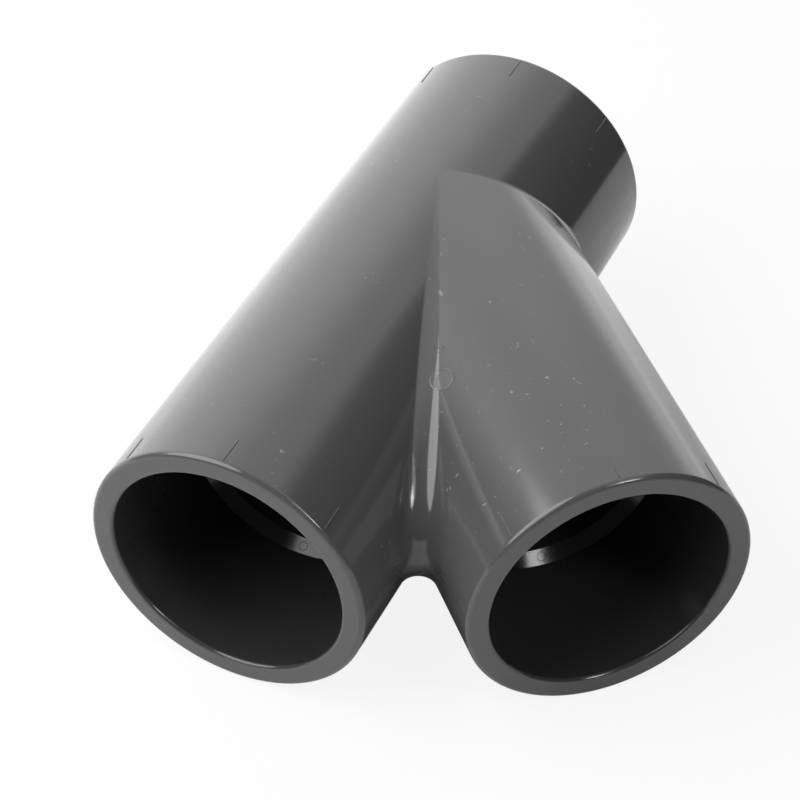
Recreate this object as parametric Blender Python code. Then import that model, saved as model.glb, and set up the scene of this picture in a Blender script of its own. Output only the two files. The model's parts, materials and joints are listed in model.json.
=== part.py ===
"""Moulded PVC 45 degree tee with three plain solvent-weld sockets.

The fitting lies flat with its three axes in one level plane. The run lies along Y, its long inlet leg
towards -Y and its short outlet leg towards +Y. The branch leaves the run at 45 degrees, towards +X and -Y.
The origin is under the middle of the bounding box, on the surface that the fitting lies on.
"""

from math import cos, pi, radians, sin, tan

import bmesh
import bpy
from mathutils import Matrix, Vector

# Driving dimensions, in metres

OUTER_RADIUS = 0.038            # run and branch alike, for 63 mm pipe
LONG_LEG = 0.124                # crossing of the axes to the inlet mouth and to the branch mouth
SHORT_LEG = 0.056               # crossing of the axes to the outlet mouth
BRANCH_ANGLE = radians(45)      # between the inlet leg and the branch

SOCKET_DEPTH = 0.0402           # mouth to pipe stop
OUTLET_SLEEVE = 0.0385          # outlet sleeve, which ends clear of the heel's fillet, just short of its pipe stop
SOCKET_MOUTH_RADIUS = 0.03165   # the socket tapers, so that the pipe jams before it bottoms
SOCKET_ROOT_RADIUS = 0.0315
LEAD_IN_WIDTH = 0.001           # chamfer that starts the pipe, across the rim
LEAD_IN_DEPTH = 0.0012          # and into the socket
RIM_ROUND = 0.0015              # rounding of the outer edge of each mouth

RUN_WATERWAY_RADIUS = 0.0284    # each pipe stop is a 45 degree shoulder from the socket down to the waterway
BRANCH_WATERWAY_RADIUS = 0.0282  # the branch core shuts off against the run core, so it is a shade smaller

CROTCH_FILLET = 0.005           # in the sharp corner between inlet leg and branch
HEEL_FILLET = 0.004             # in the blunt corner between branch and outlet leg

SEAM_GAP = 0.0003               # between two regions of the moulding
CUT_MARGIN = 0.005              # how far a cutter runs past what it cuts
SHOULDER_MARGIN = 0.001         # and a shoulder's cone, at both of its ends

FACETS = 72                     # sides of every round form, with a flat at the top and at the bottom
CROTCH_STEPS = 12
HEEL_STEPS = 4
RIM_STEPS = 4

PVC_GREY = (0.085, 0.085, 0.085, 1.0)
PVC_ROUGHNESS = 0.32

# Sizes that follow from them

HALF_ANGLE = BRANCH_ANGLE / 2
FACET_ANGLE = 2 * pi / FACETS
ROUND = 1 / cos(FACET_ANGLE / 2)    # corner radius of a facetted circle, as a multiple of its flats' radius
LONG_STOP = LONG_LEG - SOCKET_DEPTH
SHORT_STOP = SHORT_LEG - SOCKET_DEPTH
OUTLET_SEAM = SHORT_LEG - OUTLET_SLEEVE

INLET = Vector((0, -1, 0))
OUTLET = Vector((0, 1, 0))
BRANCH = Vector((sin(BRANCH_ANGLE), -cos(BRANCH_ANGLE), 0))
BRANCH_SIDE = Vector((cos(BRANCH_ANGLE), sin(BRANCH_ANGLE), 0))

BRANCH_REACH = ((LONG_LEG - RIM_ROUND) * sin(BRANCH_ANGLE)
                + (OUTER_RADIUS - RIM_ROUND) * cos(BRANCH_ANGLE) + RIM_ROUND)
CROSSING = Vector(((OUTER_RADIUS - BRANCH_REACH) / 2, (LONG_LEG - SHORT_LEG) / 2, OUTER_RADIUS))


def clear_scene():
    """Remove whatever objects the scene holds."""
    for item in list(bpy.data.objects):
        bpy.data.objects.remove(item, do_unlink=True)


def pvc_material(name):
    """Dark grey rigid PVC with a satin moulded surface."""
    material = bpy.data.materials.new(name + "_pvc")
    material.use_nodes = True
    shader = material.node_tree.nodes["Principled BSDF"]
    shader.inputs["Base Color"].default_value = PVC_GREY
    shader.inputs["Roughness"].default_value = PVC_ROUGHNESS
    shader.inputs["Metallic"].default_value = 0.0
    material.diffuse_color = PVC_GREY
    return material


def new_object(name, shape, parent=None):
    """Turn a bmesh into a linked object and free the bmesh."""
    bmesh.ops.recalc_face_normals(shape, faces=shape.faces)
    mesh = bpy.data.meshes.new(name)
    shape.to_mesh(mesh)
    shape.free()
    item = bpy.data.objects.new(name, mesh)
    item.parent = parent
    bpy.context.collection.objects.link(item)
    return item


def finish_piece(item):
    """Give a visible piece its plastic and smooth its round faces."""
    item.data.materials.append(pvc_material(item.name))
    item.data.shade_smooth()
    item.data.set_sharp_from_angle(angle=radians(25))


def along(direction, distance=0.0):
    """Place a shape made along +Z so that it runs along a level direction from the crossing of the axes."""
    turn = Vector((0, 0, 1)).rotation_difference(direction).to_matrix().to_4x4()
    return Matrix.Translation(direction * distance) @ turn


def hide_cutter(item):
    """Keep a cutter out of the finished fitting."""
    item.hide_render = True
    item.display_type = "WIRE"


def cut(item, cutter):
    """Take a cutter's volume out of a piece."""
    modifier = item.modifiers.new("cut_" + cutter.name, "BOOLEAN")
    modifier.operation = "DIFFERENCE"
    modifier.solver = "EXACT"
    modifier.object = cutter


def turned_cutter(name, parent, direction, section):
    """A facetted turning along one leg, through (distance along the leg, radius) points.

    The run's cutters have a flat on top and the branch's a corner, so that their edges never meet in one point.
    """
    shape = bmesh.new()
    first_corner = 0 if direction == BRANCH else FACET_ANGLE / 2
    turns = [first_corner + FACET_ANGLE * facet for facet in range(FACETS)]
    rings = [[shape.verts.new((radius * ROUND * cos(turn), radius * ROUND * sin(turn), distance)) for turn in turns]
             for distance, radius in section]
    for lower, upper in zip(rings, rings[1:]):
        for facet in range(FACETS):
            after = (facet + 1) % FACETS
            shape.faces.new((lower[facet], lower[after], upper[after], upper[facet]))
    shape.faces.new(rings[0])
    shape.faces.new(rings[-1])
    item = new_object(name, shape, parent)
    item.matrix_local = along(direction)
    hide_cutter(item)
    return item


def round_cutter(name, parent, direction, start, end, radius):
    """A facetted cylinder along one leg, from one distance to another."""
    return turned_cutter(name, parent, direction, [(start, radius), (end, radius)])


def shoulder_foot(stop, waterway_radius):
    """Point inside the waterway where the line of a pipe stop's 45 degree shoulder is taken up."""
    radius = waterway_radius - SHOULDER_MARGIN
    return stop - (SOCKET_ROOT_RADIUS - radius), radius


def shoulder_cutter(name, parent, direction, stop, waterway_radius):
    """A cone that opens the waterway out to the socket's root at the pipe stop."""
    past_stop = (stop + SHOULDER_MARGIN, SOCKET_ROOT_RADIUS + SHOULDER_MARGIN)
    return turned_cutter(name, parent, direction, [shoulder_foot(stop, waterway_radius), past_stop])


def mitre_cutter(name, parent, side):
    """A block that fills one side of the upright plane which halves the angle between inlet and branch.

    side is +1 for the branch's side of that plane and -1 for the inlet's side.
    """
    block = 2 * LONG_LEG
    shape = bmesh.new()
    bmesh.ops.create_cube(shape, size=block)
    item = new_object(name, shape, parent)
    item.matrix_local = (Matrix.Rotation(HALF_ANGLE, 4, "Z")
                         @ Matrix.Translation((side * (block - SEAM_GAP) / 2, -block / 2, 0)))
    hide_cutter(item)
    return item


def corner_arc(corner, toward, away, radius, half_gap, steps):
    """Round a corner of a level outline.

    corner is where the two straight sides meet, toward and away are the directions of those sides from the
    corner, and half_gap is half the open angle between them.
    """
    middle = (toward + away).normalized()
    centre = corner + middle * radius / sin(half_gap)
    sweep = pi / 2 - half_gap
    across = (toward - away).normalized()
    turns = [sweep - 2 * sweep * step / steps for step in range(steps + 1)]
    return [centre - middle * radius * cos(turn) + across * radius * sin(turn) for turn in turns]


def level_outline(lift):
    """Outline of the whole fitting in a level slice, lift being the slice's angle round the axes.

    A level slice of two crossing cylinders of one radius is two crossing strips of one width, and both
    fillets shrink with the strips, so every slice is alike and the crease dies away at top and bottom.
    """
    narrowing = cos(lift) * ROUND
    half = OUTER_RADIUS * narrowing
    wall = Vector((half, 0, 0))
    branch_wall = BRANCH_SIDE * half
    crotch = Vector((half, -half / tan(HALF_ANGLE), 0))
    heel = Vector((half, half * tan(HALF_ANGLE), 0))

    points = [INLET * LONG_LEG - wall, OUTLET * SHORT_LEG - wall, OUTLET * SHORT_LEG + wall]
    points += corner_arc(heel, OUTLET, BRANCH, HEEL_FILLET * narrowing, pi / 2 - HALF_ANGLE, HEEL_STEPS)
    points += [BRANCH * LONG_LEG + branch_wall, BRANCH * LONG_LEG - branch_wall]
    points += corner_arc(crotch, BRANCH, INLET, CROTCH_FILLET * narrowing, HALF_ANGLE, CROTCH_STEPS)
    points += [INLET * LONG_LEG + wall]
    height = Vector((0, 0, OUTER_RADIUS * ROUND * sin(lift)))
    return [point + height for point in points]


def lofted_skin():
    """Solid inside of the outer surface, lofted through level slices from the bottom flat to the top flat."""
    shape = bmesh.new()
    lifts = [(slice_number + 0.5) * FACET_ANGLE - pi / 2 for slice_number in range(FACETS // 2)]
    loops = [[shape.verts.new(point) for point in level_outline(lift)] for lift in lifts]
    for lower, upper in zip(loops, loops[1:]):
        for index in range(len(lower)):
            after = (index + 1) % len(lower)
            shape.faces.new((lower[index], lower[after], upper[after], upper[index]))
    shape.faces.new(loops[0])
    shape.faces.new(loops[-1])
    return shape


def socket_profile(stop, mouth):
    """Closed section of a socket sleeve as (radius, distance along the leg), from its root round to its root."""
    root = stop + SEAM_GAP
    points = [(SOCKET_ROOT_RADIUS, root), (SOCKET_MOUTH_RADIUS, mouth - LEAD_IN_DEPTH),
              (SOCKET_MOUTH_RADIUS + LEAD_IN_WIDTH, mouth)]
    for step in range(RIM_STEPS + 1):
        turn = pi / 2 * step / RIM_STEPS
        points.append((OUTER_RADIUS - RIM_ROUND * (1 - sin(turn)), mouth - RIM_ROUND * (1 - cos(turn))))
    points.append((OUTER_RADIUS, root))
    return points


def socket(name, parent, direction, stop, mouth):
    """A tapered sleeve that takes one pipe, turned from its section."""
    shape = bmesh.new()
    start = Matrix.Rotation(FACET_ANGLE / 2, 3, "Z")
    ring = [shape.verts.new(start @ Vector((radius * ROUND, 0, distance)))
            for radius, distance in socket_profile(stop, mouth)]
    edges = [shape.edges.new((ring[index - 1], ring[index])) for index in range(len(ring))]
    bmesh.ops.spin(shape, geom=ring + edges, cent=(0, 0, 0), axis=(0, 0, 1), angle=2 * pi, steps=FACETS,
                   use_merge=True)
    bmesh.ops.remove_doubles(shape, verts=shape.verts, dist=1e-6)
    item = new_object(name, shape, parent)
    item.matrix_local = along(direction)
    finish_piece(item)
    return item


def wye_body(parent):
    """Thick middle of the fitting, with both waterways, the three pipe stops and the web in the crotch."""
    body = new_object("wye_body", lofted_skin(), parent)
    past_mouth = LONG_LEG + CUT_MARGIN
    sleeve_room = OUTER_RADIUS + SEAM_GAP
    cut(body, round_cutter("inlet_room", parent, INLET, LONG_STOP, past_mouth, sleeve_room))
    cut(body, round_cutter("branch_room", parent, BRANCH, LONG_STOP, past_mouth, sleeve_room))
    cut(body, round_cutter("outlet_room", parent, OUTLET, OUTLET_SEAM, SHORT_LEG + CUT_MARGIN,
                           OUTER_RADIUS + CUT_MARGIN))
    cut(body, shoulder_cutter("inlet_shoulder", parent, INLET, LONG_STOP, RUN_WATERWAY_RADIUS))
    cut(body, shoulder_cutter("branch_shoulder", parent, BRANCH, LONG_STOP, BRANCH_WATERWAY_RADIUS))
    cut(body, turned_cutter("outlet_root", parent, OUTLET, [shoulder_foot(SHORT_STOP, RUN_WATERWAY_RADIUS),
                                                            (SHORT_STOP, SOCKET_ROOT_RADIUS),
                                                            (SHORT_LEG, SOCKET_ROOT_RADIUS)]))
    cut(body, round_cutter("run_waterway", parent, OUTLET, -past_mouth, past_mouth, RUN_WATERWAY_RADIUS))
    cut(body, round_cutter("branch_waterway", parent, BRANCH, 0, past_mouth, BRANCH_WATERWAY_RADIUS))
    finish_piece(body)
    return body


def main():
    """Build the fitting around an empty at the crossing of its axes."""
    clear_scene()
    fitting = bpy.data.objects.new("fitting", None)
    fitting.location = CROSSING
    bpy.context.collection.objects.link(fitting)

    wye_body(fitting)
    inlet = socket("run_inlet_socket", fitting, INLET, LONG_STOP, LONG_LEG)
    branch = socket("branch_socket", fitting, BRANCH, LONG_STOP, LONG_LEG)
    socket("run_outlet_socket", fitting, OUTLET, OUTLET_SEAM, SHORT_LEG)
    cut(inlet, mitre_cutter("branch_half", fitting, +1))
    cut(branch, mitre_cutter("inlet_half", fitting, -1))


main()
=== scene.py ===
"""Looks of a dark grey 45 degree tee in rigid PVC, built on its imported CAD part.

The real fitting is one moulding, so one seamless skin stands for the four CAD nodes. The small
moulded marks that sit on it are pieces of their own: the alignment ridges round each mouth, the
two gate marks in the crotch and the ejector pin rings on the pipe stops.
"""

import json
import logging
from dataclasses import dataclass, field
from enum import Enum
from math import acos, atan2, cos, pi, radians, sin, tan
from random import Random
from typing import Callable, Iterable, Sequence

import bmesh
import bpy
from mathutils import Matrix, Quaternion, Vector


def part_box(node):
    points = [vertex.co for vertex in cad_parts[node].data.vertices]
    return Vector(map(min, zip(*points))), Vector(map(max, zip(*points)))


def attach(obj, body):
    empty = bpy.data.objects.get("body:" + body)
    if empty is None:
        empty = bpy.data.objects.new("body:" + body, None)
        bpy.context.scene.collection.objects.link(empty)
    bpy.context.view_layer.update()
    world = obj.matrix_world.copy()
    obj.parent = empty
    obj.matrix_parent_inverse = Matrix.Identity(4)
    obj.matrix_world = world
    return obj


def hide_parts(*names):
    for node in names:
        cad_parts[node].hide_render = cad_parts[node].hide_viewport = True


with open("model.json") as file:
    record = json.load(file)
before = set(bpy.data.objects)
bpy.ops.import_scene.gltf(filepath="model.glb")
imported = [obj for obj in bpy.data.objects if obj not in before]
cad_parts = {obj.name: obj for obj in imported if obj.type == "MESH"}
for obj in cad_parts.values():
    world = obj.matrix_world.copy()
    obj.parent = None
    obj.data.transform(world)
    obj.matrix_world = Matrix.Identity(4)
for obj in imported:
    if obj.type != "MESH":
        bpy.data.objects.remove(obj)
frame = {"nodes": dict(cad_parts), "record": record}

log = logging.getLogger("pvc_tee")

UP = Vector((0.0, 0.0, 1.0))
MM = 0.001
RING_HALF = 96
MERGE = 2e-6
TOUCH = 1e-5


class LegName(Enum):
    """The three legs of the fitting."""

    INLET = "run_inlet"
    OUTLET = "run_outlet"
    BRANCH = "branch"


class Region(Enum):
    """Parts of the moulding that carry a finish of their own, in slot order."""

    SKIN = 0
    RIM = 1
    BORE = 2
    STOP = 3
    LEAD_IN = 4


@dataclass(frozen=True)
class Leg:
    """One leg: where its axis starts, where it points, and how far its mouth is."""

    name: LegName
    start: Vector
    axis: Vector
    length: float

    @property
    def across(self) -> Vector:
        """Level direction square to the axis, on the +X side of the fitting."""
        side = self.axis.cross(UP).normalized()
        return side if side.x > 0 else -side

    def at(self, distance: float) -> Vector:
        """Point on the axis at a distance from the crossing."""
        return self.start + self.axis * distance

    def radial(self, angle: float) -> Vector:
        """Unit vector from the axis, 0 level on the +X side and a quarter turn at the top."""
        return self.across * cos(angle) + UP * sin(angle)

    def measure(self, point: Vector) -> tuple[float, float]:
        """Reads a point in the leg's own terms.

        Args:
            point: A point in the row frame.

        Returns:
            Its distance along the axis and its distance from the axis.
        """
        away = point - self.start
        along = away.dot(self.axis)
        return along, (away - self.axis * along).length

    def placed(self, distance: float, angle: float, radius: float) -> Matrix:
        """Frame on the wall: X round the leg, Y along the axis, Z out of the wall.

        Args:
            distance: Distance from the crossing along the axis.
            angle: Angle round the axis, as in radial.
            radius: Distance from the axis.

        Returns:
            The 4x4 matrix of that frame.
        """
        out = self.radial(angle)
        turn = Matrix((self.axis.cross(out), self.axis, out)).transposed().to_4x4()
        return Matrix.Translation(self.at(distance) + out * radius) @ turn


@dataclass(frozen=True)
class SocketForm:
    """Sizes of a mouth, from its outer edge in to the waterway."""

    depth: float = 40.2 * MM
    mouth_radius: float = 31.65 * MM
    root_radius: float = 31.5 * MM
    rim_round: float = 1.5 * MM
    lead_in_round: float = 1.15 * MM
    root_round: float = 0.4 * MM
    stop_edge_round: float = 0.3 * MM
    waterway_radius: float = 28.4 * MM
    lip: float = 2.0 * MM
    waterway_lip: float = 0.3 * MM

    @property
    def shoulder(self) -> float:
        """Depth of the pipe stop, a 45 degree shoulder between the socket and the waterway."""
        return self.root_radius - self.waterway_radius

    @property
    def reach(self) -> float:
        """Distance from the mouth to where the waterway is taken up."""
        return self.depth + self.shoulder + self.waterway_lip

    def profile(self, length: float, outer: float) -> list[tuple[float, float]]:
        """Half section of the mouth as (distance, radius) points, outside first.

        Args:
            length: Distance from the crossing to the mouth plane.
            outer: Outer radius of the leg.

        Returns:
            The points, from the outer wall round the rim and down to the waterway.
        """
        stop = length - self.depth
        corners = [
            (length - self.lip, outer, 0.0, 0),
            (length, outer, self.rim_round, 10),
            (length, self.mouth_radius, self.lead_in_round, 10),
            (stop, self.root_radius, self.root_round, 4),
            (stop - self.shoulder, self.waterway_radius, self.stop_edge_round, 4),
            (length - self.reach, self.waterway_radius, 0.0, 0),
        ]
        return rounded_path(corners)


def rounded_path(
    corners: Sequence[tuple[float, float, float, int]], margin: float = 0.08 * MM
) -> list[tuple[float, float]]:
    """Rounds the corners of an open path in a plane.

    Args:
        corners: Points as (x, y, rounding radius, steps); the first and last stay sharp.
        margin: Straight stretch kept beside every rounding, so that flats shade flat.

    Returns:
        The points of the rounded path.
    """
    path = [corners[0][:2]]
    for before, here, after in zip(corners, corners[1:], corners[2:]):
        corner = Vector(here[:2])
        back = (Vector(before[:2]) - corner).normalized()
        ahead = (Vector(after[:2]) - corner).normalized()
        half = acos(max(-1.0, min(1.0, back.dot(ahead)))) / 2
        radius, steps = here[2], here[3]
        reach = radius / tan(half)
        middle = (back + ahead).normalized()
        centre = corner + middle * radius / sin(half)
        side = (back - ahead).normalized()
        sweep = pi / 2 - half
        path.append(tuple(corner + back * (reach + margin)))
        for step in range(steps + 1):
            turn = sweep - 2 * sweep * step / steps
            path.append(tuple(centre - middle * radius * cos(turn) + side * radius * sin(turn)))
        path.append(tuple(corner + ahead * (reach + margin)))
    path.append(corners[-1][:2])
    return path


class Bench:
    """Edit-mode work on meshes, as by hand."""

    @staticmethod
    def clear() -> None:
        """Leaves edit mode and deselects every object."""
        if bpy.context.object and bpy.context.object.mode != "OBJECT":
            bpy.ops.object.mode_set(mode="OBJECT")
        bpy.ops.object.select_all(action="DESELECT")

    @staticmethod
    def open(piece: bpy.types.Object) -> None:
        """Selects one object alone and opens it in edit mode."""
        Bench.clear()
        bpy.context.view_layer.objects.active = piece
        piece.select_set(True)
        bpy.ops.object.mode_set(mode="EDIT")

    @staticmethod
    def settle(piece: bpy.types.Object, name: str) -> bpy.types.Object:
        """Puts an object's place into its mesh and names it.

        Args:
            piece: The object, active and selected.
            name: Its new name, also for its mesh.

        Returns:
            The same object.
        """
        bpy.ops.object.transform_apply(location=True, rotation=True, scale=True)
        piece.name = piece.data.name = name
        return piece

    @staticmethod
    def pick(piece: bpy.types.Object, test: Callable[[Vector], bool]) -> int:
        """Selects the vertices whose place passes a test, and no others.

        Args:
            piece: The object that is open in edit mode.
            test: Says whether a vertex at this place is wanted.

        Returns:
            How many vertices were selected.
        """
        bpy.ops.mesh.select_mode(type="VERT")
        bpy.ops.mesh.select_all(action="DESELECT")
        mesh = bmesh.from_edit_mesh(piece.data)
        found = [vertex for vertex in mesh.verts if test(vertex.co)]
        for vertex in found:
            vertex.select_set(True)
        mesh.select_flush_mode()
        bmesh.update_edit_mesh(piece.data)
        return len(found)

    @staticmethod
    def draw_out(shift: Vector) -> None:
        """Extrudes the selected edges and moves the new ones."""
        bpy.ops.mesh.extrude_region_move(TRANSFORM_OT_translate={"value": tuple(shift)})

    @staticmethod
    def turn(angle: float, centre: Vector) -> None:
        """Turns the selection anticlockwise about the vertical through a point."""
        bpy.ops.transform.rotate(
            value=-angle, orient_axis="Z", center_override=tuple(centre)
        )

    @staticmethod
    def grow(factors: Sequence[float], centre: Vector) -> None:
        """Scales the selection about a point."""
        bpy.ops.transform.resize(value=tuple(factors), center_override=tuple(centre))

    @staticmethod
    def join(pieces: Sequence[bpy.types.Object], name: str) -> bpy.types.Object:
        """Joins objects into the first one.

        Args:
            pieces: The objects to join.
            name: The name of what comes out.

        Returns:
            The joined object.
        """
        Bench.clear()
        for piece in pieces:
            piece.select_set(True)
        bpy.context.view_layer.objects.active = pieces[0]
        if len(pieces) > 1:
            bpy.ops.object.join()
        pieces[0].name = pieces[0].data.name = name
        return pieces[0]

    @staticmethod
    def close(piece: bpy.types.Object, smooth: float = radians(32)) -> None:
        """Leaves edit mode and shades smooth where the facets meet at a shallow angle."""
        Bench.clear()
        piece.select_set(True)
        bpy.context.view_layer.objects.active = piece
        bpy.ops.object.shade_smooth_by_angle(angle=smooth)
        piece.select_set(False)


@dataclass(frozen=True)
class Fitting:
    """The whole fitting as the CAD part gives it."""

    crossing: Vector
    radius: float
    legs: dict[LegName, Leg]

    @classmethod
    def measured(cls, record: dict) -> "Fitting":
        """Reads the crossing, the radius and the legs from the frame.

        Args:
            record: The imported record, whose rim mounts give the branch's direction.

        Returns:
            The measured fitting.
        """
        low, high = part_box("run_outlet_socket")
        radius = (high.z - low.z) / 2
        run_x, axis_z = (low.x + high.x) / 2, (low.z + high.z) / 2
        rim = next(m for m in record["mounts"] if m["name"] == "branch_rim")
        heading = Vector(rim["axis"]).normalized()
        branch_length = (rim["pos_m"][0] - run_x) / heading.x
        crossing = Vector((run_x, rim["pos_m"][1] - heading.y * branch_length, axis_z))
        ahead = Vector((0.0, -1.0, 0.0))
        inlet_length = crossing.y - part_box("run_inlet_socket")[0].y
        outlet_length = high.y - crossing.y
        legs = (
            Leg(LegName.INLET, crossing, ahead, inlet_length),
            Leg(LegName.OUTLET, crossing, -ahead, outlet_length),
            Leg(LegName.BRANCH, crossing, heading, branch_length),
        )
        return cls(crossing, radius, {leg.name: leg for leg in legs})


@dataclass
class CrossingSkin:
    """Skin of three equal legs that cross, with a blend in the crotch and in the heel.

    At every level the two strips of the run and the branch are cut narrower by the same share, and
    so are the blends between them. Each line of the blend is then half an ellipse in an upright
    plane through the crossing, so one half ring, drawn out, turned and grown about the crossing,
    makes a whole flank.
    """

    fitting: Fitting
    radius: float
    crotch_blend: float
    heel_blend: float
    reach: dict[LegName, float]
    name: str
    crotch_steps: int = 26
    heel_steps: int = 14
    margin: float = 10.0 * MM
    strip: float = 1.0 * MM

    def build(self) -> bpy.types.Object:
        """Makes the skin, open at its three ends.

        Returns:
            The skin, with a ring of edges at the reach of each leg.
        """
        legs = self.fitting.legs
        inlet, outlet, branch = (legs[name] for name in LegName)
        flanks = [
            self.blended_flank(inlet, branch, self.crotch_blend, self.crotch_steps),
            self.blended_flank(outlet, branch, self.heel_blend, self.heel_steps),
            self.plain_flank(inlet, outlet),
        ]
        skin = Bench.join(flanks, self.name)
        Bench.open(skin)
        bpy.ops.mesh.select_all(action="SELECT")
        bpy.ops.mesh.remove_doubles(threshold=MERGE)
        for leg in legs.values():
            bpy.ops.mesh.select_all(action="SELECT")
            bpy.ops.mesh.bisect(
                plane_co=tuple(leg.at(self.reach[leg.name])),
                plane_no=tuple(leg.axis),
                clear_outer=True,
                threshold=MERGE,
            )
        bpy.ops.mesh.select_all(action="SELECT")
        bpy.ops.mesh.remove_doubles(threshold=MERGE)
        Bench.clear()
        return skin

    def half_ring(self, heading: float, stretch: float) -> bpy.types.Object:
        """Upright half ring at the crossing, open in edit mode with all of it selected.

        Args:
            heading: Level direction that the half ring bulges to.
            stretch: Its level reach as a share of the radius.

        Returns:
            The new object.
        """
        centre = self.fitting.crossing
        Bench.clear()
        bpy.ops.mesh.primitive_circle_add(
            vertices=2 * RING_HALF, radius=self.radius, location=centre, rotation=(pi / 2, 0, 0)
        )
        ring = Bench.settle(bpy.context.object, self.name + "_flank")
        Bench.open(ring)
        Bench.pick(ring, lambda place: place.x < centre.x - TOUCH)
        bpy.ops.mesh.delete(type="VERT")
        bpy.ops.mesh.select_all(action="SELECT")
        Bench.grow((stretch, stretch, 1.0), centre)
        Bench.turn(heading, centre)
        return ring

    def blended_flank(self, one: Leg, other: Leg, blend: float, steps: int) -> bpy.types.Object:
        """Flank between two legs, with a rounded corner where they meet.

        Args:
            one: The leg that the flank starts on.
            other: The leg that it ends on.
            blend: Radius of the corner at the level of the axes.
            steps: Facets across the corner.

        Returns:
            The flank as an object of its own.
        """
        centre = self.fitting.crossing
        half_gap = one.axis.angle(other.axis) / 2
        middle = (one.axis + other.axis).normalized()
        side = (one.axis - other.axis).normalized()
        sweep = pi / 2 - half_gap
        heart = middle * (self.radius + blend) / sin(half_gap)
        stations = []
        for step in range(steps + 1):
            turn = sweep - 2 * sweep * step / steps
            place = heart - middle * blend * cos(turn) + side * blend * sin(turn)
            stations.append((atan2(place.y, place.x), place.length / self.radius))
        first, far_one = one.axis * self.strip, one.axis * (self.reach[one.name] + self.margin)
        last, far_other = other.axis * self.strip, other.axis * (self.reach[other.name] + self.margin)
        flank = self.half_ring(*stations[0])
        bpy.ops.transform.translate(value=tuple(far_one))
        Bench.draw_out(first - far_one)
        Bench.draw_out(-first)
        for (heading, stretch), (next_heading, next_stretch) in zip(stations, stations[1:]):
            Bench.draw_out(Vector())
            share = next_stretch / stretch
            Bench.grow((share, share, 1.0), centre)
            Bench.turn(next_heading - heading, centre)
        Bench.draw_out(last)
        Bench.draw_out(far_other - last)
        Bench.clear()
        return flank

    def plain_flank(self, one: Leg, other: Leg) -> bpy.types.Object:
        """Flank on the far side of two legs in line with each other.

        Args:
            one: The leg that the flank starts on.
            other: The leg that it ends on.

        Returns:
            The flank as an object of its own.
        """
        far_one = one.axis * (self.reach[one.name] + self.margin)
        far_other = other.axis * (self.reach[other.name] + self.margin)
        flank = self.half_ring(pi, 1.0)
        bpy.ops.transform.translate(value=tuple(far_one))
        for shift in (
            one.axis * self.strip - far_one,
            -one.axis * self.strip,
            other.axis * self.strip,
            far_other - other.axis * self.strip,
        ):
            Bench.draw_out(shift)
        Bench.clear()
        return flank


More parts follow.
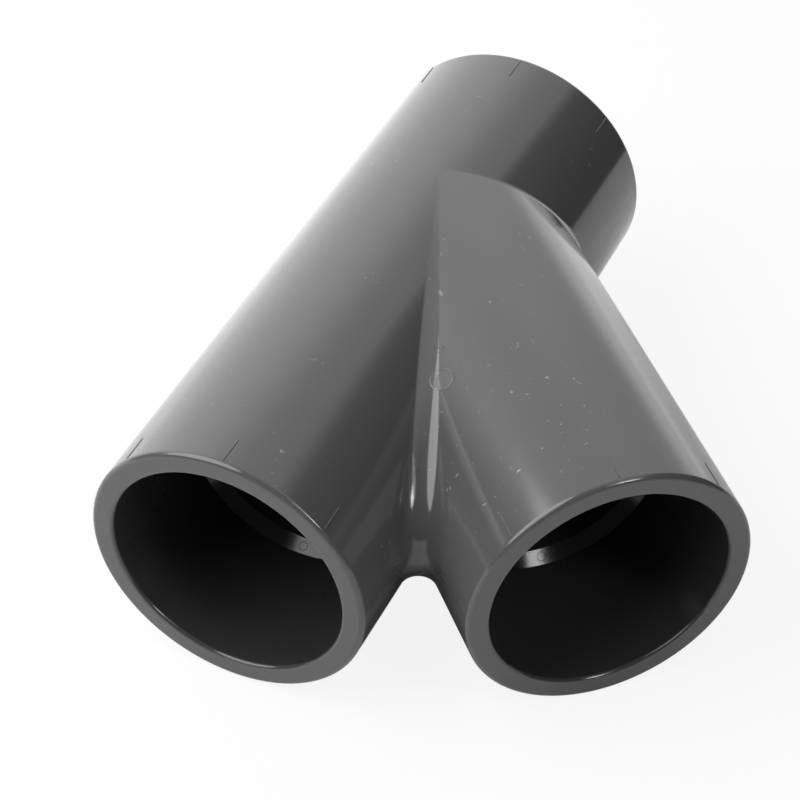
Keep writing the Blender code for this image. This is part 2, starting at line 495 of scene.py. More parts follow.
@dataclass
class Moulding:
    """The fitting's one piece of PVC: outer skin, rims, sockets, pipe stops and waterways."""

    fitting: Fitting
    socket: SocketForm = field(default_factory=SocketForm)
    name: str = "moulding"
    ridge_room: float = 0.17 * MM
    crotch_blend: float = 5.0 * MM
    heel_blend: float = 4.0 * MM
    waterway_blend: float = 0.8 * MM

    @property
    def radius(self) -> float:
        """Outer radius under the alignment ridges, which fill the rest of the CAD box."""
        return self.fitting.radius - self.ridge_room

    def build(self) -> bpy.types.Object:
        """Makes the closed mesh of the whole moulding.

        Returns:
            The mesh, with its faces pointing out.
        """
        legs = self.fitting.legs
        lip, reach = self.socket.lip, self.socket.reach
        outer = CrossingSkin(
            self.fitting,
            self.radius,
            self.crotch_blend,
            self.heel_blend,
            {name: leg.length - lip for name, leg in legs.items()},
            "outer_skin",
        ).build()
        inner = CrossingSkin(
            self.fitting,
            self.socket.waterway_radius,
            self.waterway_blend,
            self.waterway_blend,
            {name: leg.length - reach for name, leg in legs.items()},
            "waterway_skin",
            crotch_steps=6,
            heel_steps=4,
            strip=0.25 * MM,
        ).build()
        for leg in legs.values():
            self.turn_mouth(outer, leg)
        piece = Bench.join([outer, inner], self.name)
        Bench.open(piece)
        bpy.ops.mesh.select_all(action="SELECT")
        bpy.ops.mesh.remove_doubles(threshold=4 * MERGE)
        bpy.ops.mesh.normals_make_consistent(inside=False)
        Bench.close(piece)
        return piece

    def turn_mouth(self, skin: bpy.types.Object, leg: Leg) -> None:
        """Draws the open ring of one leg round the rim, down the socket and over the stop.

        Args:
            skin: The outer skin.
            leg: The leg whose mouth is made.
        """
        path = self.socket.profile(leg.length, self.radius)
        Bench.open(skin)

        def on_ring(place: Vector) -> bool:
            """Says whether a vertex is on the leg's open ring."""
            along, away = leg.measure(place)
            return abs(along - path[0][0]) < TOUCH and away < self.radius + TOUCH

        found = Bench.pick(skin, on_ring)
        if found != 2 * RING_HALF:
            raise RuntimeError(f"{leg.name.value}: {found} vertices on the open ring")
        for (distance, radius), (next_distance, next_radius) in zip(path, path[1:]):
            Bench.draw_out(leg.axis * (next_distance - distance))
            share = next_radius / radius
            Bench.grow((share, share, share), leg.at(next_distance))
        Bench.clear()

    def dress(self, piece: bpy.types.Object, finishes: dict[Region, bpy.types.Material]) -> None:
        """Gives every region of the moulding its finish.

        Args:
            piece: The built moulding.
            finishes: The material of each region.
        """
        for region in Region:
            piece.data.materials.append(finishes[region])
        for face in piece.data.polygons:
            face.material_index = self.region_of(face.center, face.normal).value

    def region_of(self, place: Vector, normal: Vector) -> Region:
        """Says which region a face belongs to.

        Args:
            place: The face's middle.
            normal: The face's direction.

        Returns:
            The region.
        """
        edge = self.socket.mouth_radius + self.socket.lead_in_round
        for leg in self.fitting.legs.values():
            along, away = leg.measure(place)
            behind = leg.length - along
            if behind < self.socket.lead_in_round and away < edge:
                return Region.RIM if normal.dot(leg.axis) > 0.85 else Region.LEAD_IN
            if behind < self.socket.depth and away < edge:
                return Region.BORE
            if behind < self.socket.reach and away < edge and normal.dot(leg.axis) > 0.1:
                return Region.STOP
            if behind < TOUCH and normal.dot(leg.axis) > 0.99:
                return Region.RIM
        nearest = min(
            leg.measure(place)[1]
            for leg in self.fitting.legs.values()
            if leg.measure(place)[0] > -TOUCH
        )
        return Region.BORE if nearest < self.socket.waterway_radius + MM else Region.SKIN


@dataclass
class AlignmentRidges:
    """Fine raised lines round a mouth, 45 degrees apart on both halves of the mould.

    They are for setting pipes square to each other. There are none at the parting plane.
    """

    fitting: Fitting
    moulding_radius: float
    width: float = 0.65 * MM
    height: float = 0.17 * MM
    root: float = 0.3 * MM
    start: float = 1.7 * MM
    end: float = 9.3 * MM
    angles: Sequence[float] = (45.0, 90.0, 135.0, 225.0, 270.0, 315.0)

    def build(self, leg: Leg) -> bpy.types.Object:
        """Makes the ridges of one leg.

        Args:
            leg: The leg whose mouth they stand round.

        Returns:
            One object with all the ridges of that mouth.
        """
        pattern = self.one_ridge()
        copies = []
        for angle in self.angles:
            Bench.clear()
            pattern.select_set(True)
            bpy.context.view_layer.objects.active = pattern
            bpy.ops.object.duplicate(linked=False)
            copy = bpy.context.object
            copy.matrix_world = leg.placed(
                leg.length - (self.start + self.end) / 2, radians(angle), self.moulding_radius
            )
            copies.append(Bench.settle(copy, f"ridge_{angle:.0f}"))
        bpy.data.objects.remove(pattern)
        ridges = Bench.join(copies, f"{leg.name.value}_alignment_ridges")
        Bench.close(ridges)
        return ridges

    def one_ridge(self) -> bpy.types.Object:
        """Models one ridge at the origin, lying along Y with its foot below the wall.

        Returns:
            The pattern ridge.
        """
        Bench.clear()
        bpy.ops.mesh.primitive_cube_add(size=1.0)
        ridge = bpy.context.object
        tall = self.height + self.root
        ridge.scale = (self.width, self.end - self.start, tall)
        ridge.location.z = self.height - tall / 2
        Bench.settle(ridge, "ridge_pattern")
        Bench.open(ridge)
        Bench.pick(ridge, lambda place: place.z > 0)
        Bench.grow((0.45, 0.985, 1.0), Vector((0, 0, self.height)))
        bpy.ops.mesh.bevel(offset=0.06 * MM, segments=3, affect="EDGES")
        Bench.clear()
        return ridge


@dataclass(frozen=True)
class WallMark:
    """A thin round mark that follows the wall of the moulding.

    The section runs from the edge to the middle as (radius, height) pairs. What is below the wall
    doesn't show, so a section that dips in the middle is a raised ring.
    """

    name: str
    place: Vector
    out: Vector
    section: tuple[tuple[float, float], ...]
    torn: float = 0.0
    lean: float = 0.0
    steps: int = 56
    sink: float = 0.25 * MM
    room: float = 6.0 * MM

    def build(self, wall: bpy.types.Object) -> bpy.types.Object:
        """Makes the mark.

        Args:
            wall: The moulding that it lies on.

        Returns:
            The closed mark, sunk a little into the wall.
        """
        out = self.out.normalized()
        piece = self.flat_disc(out)
        self.lay_down(piece, wall)
        self.raise_rings(piece, out)
        if self.torn:
            self.tear(piece)
        Bench.open(piece)
        bpy.ops.mesh.select_all(action="SELECT")
        if self.lean:
            bpy.ops.transform.rotate(
                value=radians(self.lean), orient_axis="Y", center_override=tuple(self.place)
            )
        bpy.ops.mesh.region_to_loop()
        Bench.draw_out(-out * self.sink)
        bpy.ops.mesh.edge_face_add()
        bpy.ops.mesh.select_all(action="SELECT")
        bpy.ops.mesh.normals_make_consistent(inside=False)
        Bench.close(piece, radians(50))
        return piece

    def flat_disc(self, out: Vector) -> bpy.types.Object:
        """Makes a flat disc of rings above the wall.

        Args:
            out: The direction that it faces.

        Returns:
            The disc, turned but not yet settled.
        """
        Bench.clear()
        bpy.ops.mesh.primitive_circle_add(
            vertices=self.steps, radius=self.section[0][0], fill_type="NGON"
        )
        disc = bpy.context.object
        Bench.open(disc)
        bpy.ops.mesh.select_all(action="SELECT")
        for (radius, _), (next_radius, _) in zip(self.section, self.section[1:]):
            bpy.ops.mesh.inset(thickness=radius - next_radius)
        bpy.ops.mesh.poke()
        Bench.clear()
        disc.select_set(True)
        bpy.context.view_layer.objects.active = disc
        disc.rotation_mode = "QUATERNION"
        disc.rotation_quaternion = out.to_track_quat("Z", "Y")
        disc.location = self.place + out * self.room
        return disc

    def lay_down(self, piece: bpy.types.Object, wall: bpy.types.Object) -> None:
        """Presses the flat disc onto the wall along its own axis.

        Args:
            piece: The disc.
            wall: The moulding.
        """
        press = piece.modifiers.new("press", "SHRINKWRAP")
        press.target = wall
        press.wrap_method = "PROJECT"
        press.use_project_z = True
        press.use_positive_direction = False
        press.use_negative_direction = True
        bpy.ops.object.modifier_apply(modifier=press.name)
        Bench.settle(piece, self.name)

    def raise_rings(self, piece: bpy.types.Object, out: Vector) -> None:
        """Moves every ring of the pressed disc to its height above the wall.

        Args:
            piece: The pressed disc.
            out: The direction that it faces.
        """
        Bench.open(piece)

        def away(place: Vector) -> float:
            """Distance of a vertex from the mark's axis."""
            gap = place - self.place
            return (gap - out * gap.dot(out)).length

        for radius, height in (*self.section, (0.0, self.section[-1][1])):
            Bench.pick(piece, lambda spot: abs(away(spot) - radius) < 2 * TOUCH)
            bpy.ops.transform.translate(value=tuple(out * height))
        Bench.clear()

    def tear(self, piece: bpy.types.Object) -> None:
        """Roughens the mark's face, as where a sprue broke off.

        Args:
            piece: The raised mark.
        """
        piece.select_set(True)
        bpy.context.view_layer.objects.active = piece
        clouds = bpy.data.textures.new(self.name + "_torn", "CLOUDS")
        clouds.noise_scale = 0.4 * MM
        clouds.noise_depth = 3
        rough = piece.modifiers.new("torn", "DISPLACE")
        rough.texture = clouds
        rough.texture_coords = "LOCAL"
        rough.strength = self.torn
        bpy.ops.object.modifier_apply(modifier=rough.name)


@dataclass
class MouldMarks:
    """What the mould left on the fitting: gate marks in the crotch and pin rings on the stops."""

    fitting: Fitting
    socket: SocketForm

    def gates(self) -> list[WallMark]:
        """Sets out the broken gate and the small ring above it, where the legs meet on top."""
        crossing = self.fitting.crossing
        return [
            WallMark(
                "gate_mark",
                crossing + Vector((30.9, -65.3, 28.8)) * MM,
                Vector((0.12, -0.5, 0.86)),
                self.broken_face(3.15, 0.04),
                torn=0.05 * MM,
                lean=1.2,
                steps=120,
            ),
            WallMark(
                "gate_ring",
                crossing + Vector((26.9, -57.5, 31.1)) * MM,
                Vector((-0.2, -0.35, 0.92)),
                self.ring(1.15, 0.35, 0.07),
            ),
        ]

    def pins(self) -> list[WallMark]:
        """Sets out the ejector pin rings, one at the bottom and one at the top of every stop."""
        middle = self.socket.shoulder / 2
        marks = []
        for leg in self.fitting.legs.values():
            for side, angle in (("low", -pi / 2), ("high", pi / 2)):
                inward = -leg.radial(angle)
                spot = leg.at(leg.length - self.socket.depth - middle)
                marks.append(
                    WallMark(
                        f"{leg.name.value}_pin_ring_{side}",
                        spot - inward * (self.socket.root_radius - middle),
                        leg.axis + inward,
                        self.ring(1.35, 0.35, 0.14),
                        room=2.0 * MM,
                    )
                )
        return marks

    @staticmethod
    def broken_face(outer: float, height: float) -> tuple[tuple[float, float], ...]:
        """Section of a low disc with a raised double edge.

        Args:
            outer: Its radius in millimetres.
            height: The height of its face in millimetres.

        Returns:
            The section as (radius, height) pairs in metres.
        """
        pairs = [
            (outer, 0.0), (outer - 0.1, 1.8 * height), (outer - 0.3, 2.2 * height),
            (outer - 0.5, height), (outer - 0.65, 1.8 * height), (outer - 0.8, height),
        ]
        step = 0.16
        count = int(pairs[-1][0] / step) - 1
        pairs += [(pairs[5][0] - step * number, height) for number in range(1, count + 1)]
        return tuple((radius * MM, rise * MM) for radius, rise in pairs)

    @staticmethod
    def ring(outer: float, line: float, height: float) -> tuple[tuple[float, float], ...]:
        """Section of a raised ring.

        Args:
            outer: Its outer radius in millimetres.
            line: The width of the line in millimetres.
            height: Its height in millimetres.

        Returns:
            The section as (radius, height) pairs in metres.
        """
        inner = outer - line
        pairs = [
            (outer, -0.05), (outer - 0.3 * line, height), (outer - 0.7 * line, height),
            (inner, -0.05), (inner * 0.66, -0.05), (inner * 0.33, -0.05),
        ]
        return tuple((radius * MM, rise * MM) for radius, rise in pairs)


@dataclass(frozen=True)
class PvcFinish:
    """Rigid PVC as it leaves the mould, with light handling marks.

    The grey and the roughness are those of the clean surface, except in the finishes of the
    socket bore, the lead-in and the pipe stop, whose darker grey is painted shade for the inside
    of the mouths. The other values say how much each shared effect shows.
    """

    name: str
    grey: float
    roughness: float
    mottle: float
    grain: float
    scratches: float
    dust: float
    shine: float = 0.5

    def material(self, effects: "Effects") -> bpy.types.Material:
        """Builds the material.

        Args:
            effects: The node groups that all finishes share.

        Returns:
            The material.
        """
        made = bpy.data.materials.new(self.name)
        made.use_nodes = True
        nodes, links = made.node_tree.nodes, made.node_tree.links
        shader = nodes["Principled BSDF"]
        shader.inputs["IOR"].default_value = 1.54
        shader.inputs["Specular IOR Level"].default_value = self.shine
        place = nodes.new("ShaderNodeTexCoord").outputs["Object"]

        mottle = effects.place(nodes, effects.mottle, {"Spread": self.mottle})
        scratch = effects.place(nodes, effects.scratches, {"Amount": self.scratches})
        dust = effects.place(nodes, effects.dust, {"Amount": self.dust})
        for group in (mottle, scratch, dust):
            links.new(place, group.inputs["Vector"])

        tinted = nodes.new("ShaderNodeMix")
        tinted.data_type = "RGBA"
        tinted.blend_type = "MULTIPLY"
        tinted.inputs["Factor"].default_value = 1.0
        tinted.inputs["A"].default_value = (self.grey, self.grey, self.grey, 1.0)
        links.new(mottle.outputs["Tint"], tinted.inputs["B"])
        dusty = nodes.new("ShaderNodeMix")
        dusty.data_type = "RGBA"
        dusty.inputs["B"].default_value = (0.42, 0.42, 0.41, 1.0)
        links.new(dust.outputs["Mask"], dusty.inputs["Factor"])
        links.new(tinted.outputs["Result"], dusty.inputs["A"])
        links.new(dusty.outputs["Result"], shader.inputs["Base Color"])

        rough = nodes.new("ShaderNodeMath")
        rough.operation = "ADD"
        rough.inputs[1].default_value = self.roughness
        links.new(mottle.outputs["Gloss"], rough.inputs[0])
        worn = nodes.new("ShaderNodeMath")
        worn.operation = "MULTIPLY_ADD"
        worn.inputs[1].default_value = 0.35
        links.new(scratch.outputs["Mask"], worn.inputs[0])
        links.new(rough.outputs[0], worn.inputs[2])
        links.new(worn.outputs[0], shader.inputs["Roughness"])

        relief = nodes.new("ShaderNodeMath")
        relief.operation = "MULTIPLY_ADD"
        relief.inputs[1].default_value = self.grain
        links.new(mottle.outputs["Grain"], relief.inputs[0])
        links.new(scratch.outputs["Height"], relief.inputs[2])
        bump = nodes.new("ShaderNodeBump")
        bump.inputs["Strength"].default_value = 1.0
        bump.inputs["Distance"].default_value = 0.02 * MM
        links.new(relief.outputs[0], bump.inputs["Height"])
        links.new(bump.outputs["Normal"], shader.inputs["Normal"])
        return made


class Effects:
    """Node groups that every PVC finish shares."""

    def __init__(self) -> None:
        """Builds the groups once."""
        self.mottle = self.moulding_mottle()
        self.scratches = self.fine_scratches()
        self.dust = self.dust_specks()

    @staticmethod
    def place(
        nodes: bpy.types.Nodes, group: bpy.types.NodeTree, values: dict[str, float]
    ) -> bpy.types.Node:
        """Places a group in a material with its own values.

        Args:
            nodes: The nodes of the material.
            group: The group.
            values: Values for the group's inputs.

        Returns:
            The group's node.
        """
        node = nodes.new("ShaderNodeGroup")
        node.node_tree = group
        for name, value in values.items():
            node.inputs[name].default_value = value
        return node

    @staticmethod
    def start(
        name: str, inputs: Sequence[str], outputs: Sequence[tuple[str, str]]
    ) -> tuple[bpy.types.NodeTree, bpy.types.Node, bpy.types.Node]:
        """Opens a new group with a Vector input and float inputs.

        Args:
            name: The group's name.
            inputs: Names of the float inputs.
            outputs: Names and socket types of the outputs.

        Returns:
            The group, its input node and its output node.
        """
        group = bpy.data.node_groups.new(name, "ShaderNodeTree")
        group.interface.new_socket("Vector", in_out="INPUT", socket_type="NodeSocketVector")
        for entry in inputs:
            group.interface.new_socket(entry, in_out="INPUT", socket_type="NodeSocketFloat")
        for entry, kind in outputs:
            group.interface.new_socket(entry, in_out="OUTPUT", socket_type=kind)
        return group, group.nodes.new("NodeGroupInput"), group.nodes.new("NodeGroupOutput")

    @staticmethod
    def noise(
        group: bpy.types.NodeTree, vector: bpy.types.NodeSocket, scale: float, detail: float
    ) -> bpy.types.Node:
        """Adds a noise texture to a group.

        Args:
            group: The group.
            vector: Where the texture is read.
            scale: Waves in a metre.
            detail: Octaves.

        Returns:
            The noise node.
        """
        node = group.nodes.new("ShaderNodeTexNoise")
        node.inputs["Scale"].default_value = scale
        node.inputs["Detail"].default_value = detail
        group.links.new(vector, node.inputs["Vector"])
        return node

    @staticmethod
    def stretch(
        group: bpy.types.NodeTree,
        value: bpy.types.NodeSocket,
        source: tuple[float, float],
        target: tuple[float, float],
    ) -> bpy.types.Node:
        """Adds a clamped map of one range of values to another.

        Args:
            group: The group.
            value: The value to map.
            source: The range that it comes in.
            target: The range that it goes to.

        Returns:
            The map node.
        """
        node = group.nodes.new("ShaderNodeMapRange")
        node.inputs["From Min"].default_value, node.inputs["From Max"].default_value = source
        node.inputs["To Min"].default_value, node.inputs["To Max"].default_value = target
        group.links.new(value, node.inputs["Value"])
        return node

    def moulding_mottle(self) -> bpy.types.NodeTree:
        """Cloudy tint, uneven gloss and fine grain of a moulded surface.

        Returns:
            The group, with outputs Tint, Gloss and Grain.
        """
        group, given, put = self.start(
            "moulding_mottle",
            ["Spread"],
            [
                ("Tint", "NodeSocketColor"),
                ("Gloss", "NodeSocketFloat"),
                ("Grain", "NodeSocketFloat"),
            ],
        )
        links = group.links
        clouds = self.noise(group, given.outputs["Vector"], 38.0, 4.0)
        swing = self.stretch(group, clouds.outputs["Fac"], (0.25, 0.75), (-1.0, 1.0))
        tint = group.nodes.new("ShaderNodeMath")
        tint.operation = "MULTIPLY_ADD"
        tint.inputs[2].default_value = 1.0
        links.new(swing.outputs[0], tint.inputs[0])
        links.new(given.outputs["Spread"], tint.inputs[1])
        links.new(tint.outputs[0], put.inputs["Tint"])
        haze = self.noise(group, given.outputs["Vector"], 140.0, 5.0)
        gloss = self.stretch(group, haze.outputs["Fac"], (0.2, 0.8), (-0.02, 0.02))
        links.new(gloss.outputs[0], put.inputs["Gloss"])
        grain = self.noise(group, given.outputs["Vector"], 1500.0, 3.0)
        links.new(grain.outputs["Fac"], put.inputs["Grain"])
        return group

    def fine_scratches(self) -> bpy.types.NodeTree:
        """Sparse hair scratches in three directions.

        Returns:
            The group, with outputs Mask and Height.
        """
        group, given, put = self.start(
            "fine_scratches",
            ["Amount"],
            [("Mask", "NodeSocketFloat"), ("Height", "NodeSocketFloat")],
        )
        links = group.links
        total = None
        for turn in ((0.0, 0.0, 0.4), (0.6, 0.2, 1.5), (0.2, 0.9, 2.6)):
            bend = group.nodes.new("ShaderNodeMapping")
            bend.inputs["Rotation"].default_value = turn
            bend.inputs["Scale"].default_value = (1.0, 0.035, 1.0)
            links.new(given.outputs["Vector"], bend.inputs["Vector"])
            cells = group.nodes.new("ShaderNodeTexVoronoi")
            cells.feature = "DISTANCE_TO_EDGE"
            cells.inputs["Scale"].default_value = 420.0
            links.new(bend.outputs["Vector"], cells.inputs["Vector"])
            line = self.stretch(group, cells.outputs["Distance"], (0.0, 0.012), (1.0, 0.0))
            patches = self.noise(group, bend.outputs["Vector"], 60.0, 2.0)
            kept = self.stretch(group, patches.outputs["Fac"], (0.6, 0.72), (0.0, 1.0))
            both = group.nodes.new("ShaderNodeMath")
            both.operation = "MULTIPLY"
            links.new(line.outputs[0], both.inputs[0])
            links.new(kept.outputs[0], both.inputs[1])
            if total is None:
                total = both
            else:
                more = group.nodes.new("ShaderNodeMath")
                more.operation = "MAXIMUM"
                links.new(total.outputs[0], more.inputs[0])
                links.new(both.outputs[0], more.inputs[1])
                total = more
        mask = group.nodes.new("ShaderNodeMath")
        mask.operation = "MULTIPLY"
        links.new(total.outputs[0], mask.inputs[0])
        links.new(given.outputs["Amount"], mask.inputs[1])
        links.new(mask.outputs[0], put.inputs["Mask"])
        depth = group.nodes.new("ShaderNodeMath")
        depth.operation = "MULTIPLY"
        depth.inputs[1].default_value = -0.6
        links.new(mask.outputs[0], depth.inputs[0])
        links.new(depth.outputs[0], put.inputs["Height"])
        return group

    def dust_specks(self) -> bpy.types.NodeTree:
        """Small pale specks of dust, in loose patches and thickest beside the crotch.

        Returns:
            The group, with the output Mask.
        """
        group, given, put = self.start("dust_specks", ["Amount"], [("Mask", "NodeSocketFloat")])
        links = group.links
        grains = self.noise(group, given.outputs["Vector"], 560.0, 3.0)
        grains.inputs["Distortion"].default_value = 0.7
        dots = self.stretch(group, grains.outputs["Fac"], (0.68, 0.75), (0.0, 1.0))
        patches = self.noise(group, given.outputs["Vector"], 45.0, 2.0)
        loose = self.stretch(group, patches.outputs["Fac"], (0.52, 0.66), (0.0, 0.6))
        away = group.nodes.new("ShaderNodeVectorMath")
        away.operation = "DISTANCE"
        away.inputs[1].default_value = (18 * MM, -44 * MM, 68 * MM)
        links.new(given.outputs["Vector"], away.inputs[0])
        thick = self.stretch(group, away.outputs["Value"], (16 * MM, 30 * MM), (1.0, 0.0))
        where = group.nodes.new("ShaderNodeMath")
        where.operation = "MAXIMUM"
        links.new(loose.outputs[0], where.inputs[0])
        links.new(thick.outputs[0], where.inputs[1])
        last = dots
        for factor in (where.outputs[0], given.outputs["Amount"]):
            both = group.nodes.new("ShaderNodeMath")
            both.operation = "MULTIPLY"
            links.new(last.outputs[0], both.inputs[0])
            links.new(factor, both.inputs[1])
            last = both
        links.new(last.outputs[0], put.inputs["Mask"])
        return group


@dataclass(frozen=True)
class Softbox:
    """A soft oval lamp that faces the fitting."""

    name: str
    azimuth: float
    elevation: float
    distance: float
    width: float
    height: float
    power: float
    roll: float = 0.0

    def hang(self, target: Vector) -> bpy.types.Object:
        """Hangs the lamp.

        Args:
            target: The point that it faces.

        Returns:
            The lamp.
        """
        turn, lift = radians(self.azimuth), radians(self.elevation)
        toward = Vector((sin(turn) * cos(lift), cos(turn) * cos(lift), sin(lift)))
        data = bpy.data.lights.new(self.name, "AREA")
        data.shape = "ELLIPSE"
        data.size, data.size_y = self.width, self.height
        data.energy = self.power
        lamp = bpy.data.objects.new(self.name, data)
        bpy.context.scene.collection.objects.link(lamp)
        lamp.location = target + toward * self.distance
        lamp.rotation_mode = "QUATERNION"
        roll = Quaternion((0.0, 0.0, 1.0), radians(self.roll))
        lamp.rotation_quaternion = toward.to_track_quat("Z", "Y") @ roll
        lamp.visible_camera = False
        return lamp


@dataclass(frozen=True)
class Card:
    """A card that stands or lies on the floor beside the fitting, lit or black, with soft edges.

    The fades are shares of the width or the height over which the card thins out to nothing. A
    lying card starts at its distance and glows only upwards.
    """

    name: str
    azimuth: float
    distance: float
    width: float
    height: float
    radiance: float
    fade_left: float
    fade_right: float
    fade_foot: float
    fade_top: float
    lying: bool = False

    def stand(self, target: Vector) -> bpy.types.Object:
        """Stands the card up or lays it down.

        Args:
            target: The point that it faces.

        Returns:
            The card, which the camera doesn't see.
        """
        turn = radians(self.azimuth)
        away = self.distance + (self.height / 2 if self.lying else 0.0)
        Bench.clear()
        bpy.ops.mesh.primitive_plane_add(size=1.0)
        card = bpy.context.object
        card.scale = (self.width, self.height, 1.0)
        card.rotation_euler = (0.0 if self.lying else pi / 2, 0.0, -turn)
        card.location = (
            target.x + sin(turn) * away,
            target.y + cos(turn) * away,
            0.5 * MM if self.lying else self.height / 2,
        )
        Bench.settle(card, self.name)
        card.data.materials.append(self.cloth())
        card.visible_camera = False
        card.visible_shadow = not self.lying
        return card

    def cloth(self) -> bpy.types.Material:
        """Makes the card's face, which glows evenly and thins out at its edges.

        Returns:
            The material.
        """
        made = bpy.data.materials.new(self.name + "_cloth")
        made.use_nodes = True
        nodes, links = made.node_tree.nodes, made.node_tree.links
        nodes.remove(nodes["Principled BSDF"])
        glow = nodes.new("ShaderNodeEmission")
        glow.inputs["Strength"].default_value = self.radiance
        clear = nodes.new("ShaderNodeBsdfTransparent")
        mix = nodes.new("ShaderNodeMixShader")
        links.new(clear.outputs[0], mix.inputs[1])
        links.new(glow.outputs[0], mix.inputs[2])
        links.new(mix.outputs[0], nodes["Material Output"].inputs["Surface"])
        split = nodes.new("ShaderNodeSeparateXYZ")
        links.new(nodes.new("ShaderNodeTexCoord").outputs["UV"], split.inputs[0])
        front = nodes.new("ShaderNodeMath")
        front.operation = "SUBTRACT"
        front.inputs[0].default_value = 1.0
        if self.lying:
            links.new(nodes.new("ShaderNodeNewGeometry").outputs["Backfacing"], front.inputs[1])
        else:
            front.inputs[1].default_value = 0.0
        whole = front.outputs[0]
        for side, bare, width in (
            ("X", 0.0, self.fade_left),
            ("X", 1.0, -self.fade_right),
            ("Y", 0.0, self.fade_foot),
            ("Y", 1.0, -self.fade_top),
        ):
            if not width:
                continue
            fade = nodes.new("ShaderNodeMapRange")
            fade.interpolation_type = "SMOOTHSTEP"
            fade.inputs["From Min"].default_value = bare
            fade.inputs["From Max"].default_value = bare + width
            links.new(split.outputs[side], fade.inputs["Value"])
            both = nodes.new("ShaderNodeMath")
            both.operation = "MULTIPLY"
            links.new(whole, both.inputs[0])
            links.new(fade.outputs[0], both.inputs[1])
            whole = both.outputs[0]
        links.new(whole, mix.inputs[0])
        return made


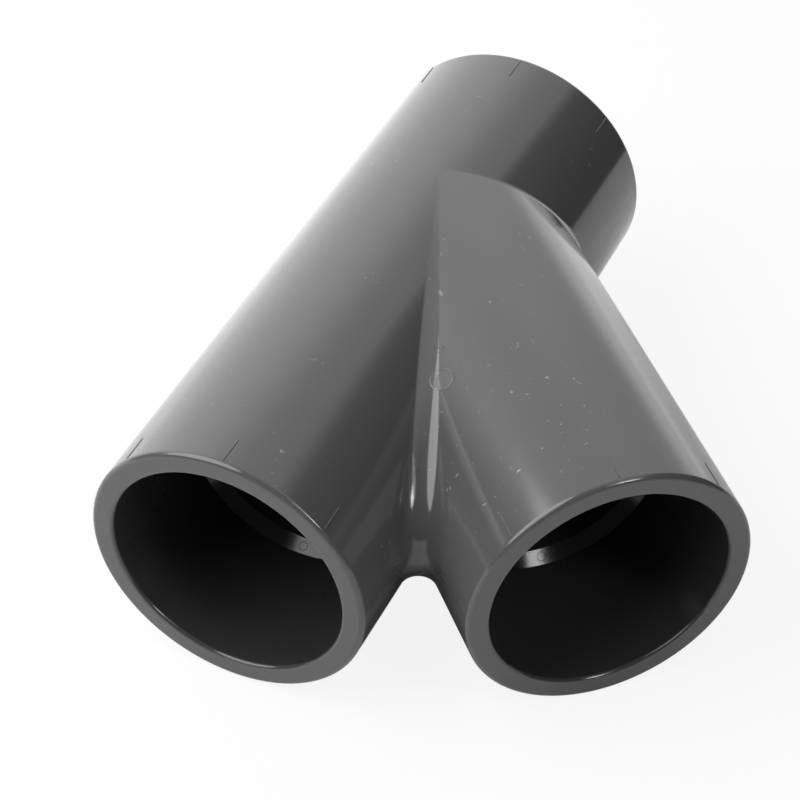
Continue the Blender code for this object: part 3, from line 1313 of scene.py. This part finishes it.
@dataclass
class Studio:
    """White floor, soft lamps, cards, pale surroundings and the camera.

    The floor is white paper. What looks at it straight sees some of the paper's white without the
    shadow on it, and reflections see that only outside the ring that starts at floor_dark.
    """

    target: Vector
    softboxes: Sequence[Softbox] = (
        Softbox("right_lamp", 106.0, 38.0, 1.2, 0.26, 0.3, 2.1),
        Softbox("right_halo", 99.0, 45.0, 1.25, 0.7, 0.55, 2.6),
        Softbox("left_lamp", 236.0, 48.0, 1.2, 1.42, 1.15, 17.5, roll=-25.0),
    )
    cards: Sequence[Card] = (
        Card("left_panel", -44.0, 0.85, 2.1, 1.35, 1.9, 0.25, 0.4, 0.0, 0.6),
        Card("left_table", -44.0, 0.03, 2.1, 0.82, 1.8, 0.25, 0.3, 0.25, 0.0, lying=True),
        Card("back_board", 5.0, 0.95, 1.6, 0.28, 1.8, 0.3, 0.3, 0.0, 0.9),
        Card("right_flag", 57.0, 0.45, 0.88, 0.8, 0.0, 0.14, 0.1, 0.0, 0.4),
    )
    floor_size: float = 30.0
    floor_white: float = 0.88
    floor_clean: float = 0.88
    floor_dark: float = 0.13
    floor_open: float = 0.22
    floor_mirrored: float = 0.4
    sky: float = 0.06
    room_dark: float = 0.03

    def build(self) -> None:
        """Sets up the whole studio."""
        self.lay_floor()
        self.light_world()
        for box in self.softboxes:
            box.hang(self.target)
        for card in self.cards:
            card.stand(self.target)
        self.aim_camera()
        bpy.context.scene.view_settings.view_transform = "Standard"

    def lay_floor(self) -> bpy.types.Object:
        """Lays the white floor.

        Returns:
            The floor.
        """
        Bench.clear()
        bpy.ops.mesh.primitive_plane_add(size=self.floor_size)
        floor = Bench.settle(bpy.context.object, "floor")
        paper = bpy.data.materials.new("white_paper")
        paper.use_nodes = True
        nodes, links = paper.node_tree.nodes, paper.node_tree.links
        nodes.remove(nodes["Principled BSDF"])
        diffuse = nodes.new("ShaderNodeBsdfDiffuse")
        diffuse.inputs["Color"].default_value = (*[self.floor_white] * 3, 1.0)
        clean = nodes.new("ShaderNodeEmission")
        mix = nodes.new("ShaderNodeMixShader")
        away = nodes.new("ShaderNodeVectorMath")
        away.operation = "DISTANCE"
        away.inputs[1].default_value = (self.target.x, self.target.y, 0.0)
        links.new(nodes.new("ShaderNodeTexCoord").outputs["Object"], away.inputs[0])
        clear_of = nodes.new("ShaderNodeMapRange")
        clear_of.inputs["From Min"].default_value = self.floor_dark
        clear_of.inputs["From Max"].default_value = self.floor_open
        clear_of.inputs["To Max"].default_value = self.floor_mirrored
        links.new(away.outputs["Value"], clear_of.inputs["Value"])
        share = nodes.new("ShaderNodeMath")
        share.operation = "MULTIPLY"
        share.inputs[1].default_value = self.floor_clean
        links.new(self.seen_directly(nodes, links, clear_of.outputs[0]), share.inputs[0])
        links.new(share.outputs[0], mix.inputs[0])
        links.new(diffuse.outputs[0], mix.inputs[1])
        links.new(clean.outputs[0], mix.inputs[2])
        links.new(mix.outputs[0], nodes["Material Output"].inputs["Surface"])
        floor.data.materials.append(paper)
        return floor

    @staticmethod
    def seen_directly(
        nodes: bpy.types.Nodes,
        links: bpy.types.NodeLinks,
        mirrored: bpy.types.NodeSocket | None = None,
    ) -> bpy.types.NodeSocket:
        """Adds the test for rays from the camera, a mirror or glass.

        Args:
            nodes: The nodes of a material or the world.
            links: Their links.
            mirrored: How much rays from a mirror or glass count, all of it if none is given.

        Returns:
            A socket that is 1 for rays from the camera and that share for the others.
        """
        path = nodes.new("ShaderNodeLightPath")
        bent = nodes.new("ShaderNodeMath")
        bent.operation = "MAXIMUM"
        links.new(path.outputs["Is Glossy Ray"], bent.inputs[0])
        links.new(path.outputs["Is Transmission Ray"], bent.inputs[1])
        if mirrored:
            part = nodes.new("ShaderNodeMath")
            part.operation = "MULTIPLY"
            links.new(bent.outputs[0], part.inputs[0])
            links.new(mirrored, part.inputs[1])
            bent = part
        either = nodes.new("ShaderNodeMath")
        either.operation = "MAXIMUM"
        links.new(path.outputs["Is Camera Ray"], either.inputs[0])
        links.new(bent.outputs[0], either.inputs[1])
        return either.outputs[0]

    def light_world(self) -> None:
        """Makes the surroundings white to look at and dimmer as a light.

        In reflections the room is white at the back and dark on the camera's side.
        """
        world = bpy.data.worlds.new("white_room")
        bpy.context.scene.world = world
        world.use_nodes = True
        nodes, links = world.node_tree.nodes, world.node_tree.links
        dim = nodes["Background"]
        dim.inputs["Color"].default_value = (1.0, 1.0, 1.0, 1.0)
        dim.inputs["Strength"].default_value = self.sky
        white = nodes.new("ShaderNodeBackground")
        white.inputs["Color"].default_value = (1.0, 1.0, 1.0, 1.0)
        mix = nodes.new("ShaderNodeMixShader")
        split = nodes.new("ShaderNodeSeparateXYZ")
        links.new(nodes.new("ShaderNodeTexCoord").outputs["Generated"], split.inputs[0])
        back = nodes.new("ShaderNodeMapRange")
        back.interpolation_type = "SMOOTHSTEP"
        back.inputs["From Min"].default_value = -0.2
        back.inputs["From Max"].default_value = 0.3
        back.inputs["To Min"].default_value = self.room_dark
        links.new(split.outputs["Y"], back.inputs["Value"])
        links.new(self.seen_directly(nodes, links, back.outputs[0]), mix.inputs[0])
        links.new(dim.outputs[0], mix.inputs[1])
        links.new(white.outputs[0], mix.inputs[2])
        links.new(mix.outputs[0], nodes["World Output"].inputs["Surface"])

    def aim_camera(self) -> bpy.types.Object:
        """Puts the camera where the photograph was taken.

        Returns:
            The camera.
        """
        data = bpy.data.cameras.new("camera")
        data.sensor_width = 36.0
        data.lens = 118.1535
        data.clip_start, data.clip_end = 0.01, 50.0
        camera = bpy.data.objects.new("camera", data)
        bpy.context.scene.collection.objects.link(camera)
        forward = Vector((-0.30144898, 0.65849304, -0.68957627)).normalized()
        right = Vector((0.90379734, 0.42775167, 0.01337446)).normalized()
        above = right.cross(forward).normalized()
        turn = Matrix((right, above, -forward)).transposed().to_4x4()
        camera.matrix_world = Matrix.Translation((0.182503, -0.470128, 0.514513)) @ turn
        bpy.context.scene.camera = camera
        return camera


def mount(piece: bpy.types.Object, nodes: Iterable[str] = ()) -> None:
    """Sets a finished piece on the part.

    Args:
        piece: The piece.
        nodes: The CAD nodes that it stands for.
    """
    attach(piece, "root")
    names = list(nodes)
    if names:
        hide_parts(*names)
    log.info("%s: %d faces", piece.name, len(piece.data.polygons))


def main() -> None:
    """Builds the fitting and its studio."""
    logging.basicConfig(level=logging.INFO, format="%(name)s %(message)s")
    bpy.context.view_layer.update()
    fitting = Fitting.measured(frame["record"])
    effects = Effects()
    skin = PvcFinish("pvc_moulded_skin", 0.085, 0.11, 0.03, 0.1, 0.5, 0.7)
    rim = PvcFinish("pvc_rim_face", 0.085, 0.2, 0.03, 0.2, 0.4, 0.5)
    # The bore is the same PVC as the skin; its grey of 0.03 is painted shade, darkening the socket
    # where little light gets in.
    bore_painted_shade = PvcFinish("pvc_socket_bore_painted_shade", 0.03, 0.2, 0.04, 0.2, 0.4, 0.1)
    # The pipe stop is the same PVC too; its near-black grey of 0.008 and lower shine are painted
    # shade deep in the socket.
    stop = PvcFinish("pvc_pipe_stop_painted_shade", 0.008, 0.14, 0.03, 0.15, 0.4, 0.1, shine=0.35)
    # The lead-in round is the same PVC too; its grey of 0.05 is painted shade, a dark band at the
    # inner edge of each mouth.
    lead_in_painted_shade = PvcFinish("pvc_lead_in_painted_shade", 0.05, 0.1, 0.03, 0.1, 0.4, 0.1)
    finishes = {
        Region.SKIN: skin.material(effects),
        Region.RIM: rim.material(effects),
        Region.BORE: bore_painted_shade.material(effects),
        Region.STOP: stop.material(effects),
        Region.LEAD_IN: lead_in_painted_shade.material(effects),
    }

    moulding = Moulding(fitting)
    body = moulding.build()
    moulding.dress(body, finishes)
    mount(body, sorted(frame["nodes"]))

    ridges = AlignmentRidges(fitting, moulding.radius)
    for leg in fitting.legs.values():
        marks = ridges.build(leg)
        marks.data.materials.append(finishes[Region.SKIN])
        mount(marks)

    mould = MouldMarks(fitting, moulding.socket)
    broken = PvcFinish("pvc_broken_gate", 0.1, 0.16, 0.08, 0.5, 0.6, 0.4).material(effects)
    for mark in mould.gates():
        piece = mark.build(body)
        piece.data.materials.append(broken if mark.torn else finishes[Region.SKIN])
        mount(piece)
    for mark in mould.pins():
        piece = mark.build(body)
        # The pin rings take the pipe stop's finish and so its painted shade.
        piece.data.materials.append(finishes[Region.STOP])
        mount(piece)

    Studio(fitting.crossing + Vector((0.03, -0.05, 0.0))).build()


if __name__ == "__main__":
    main()
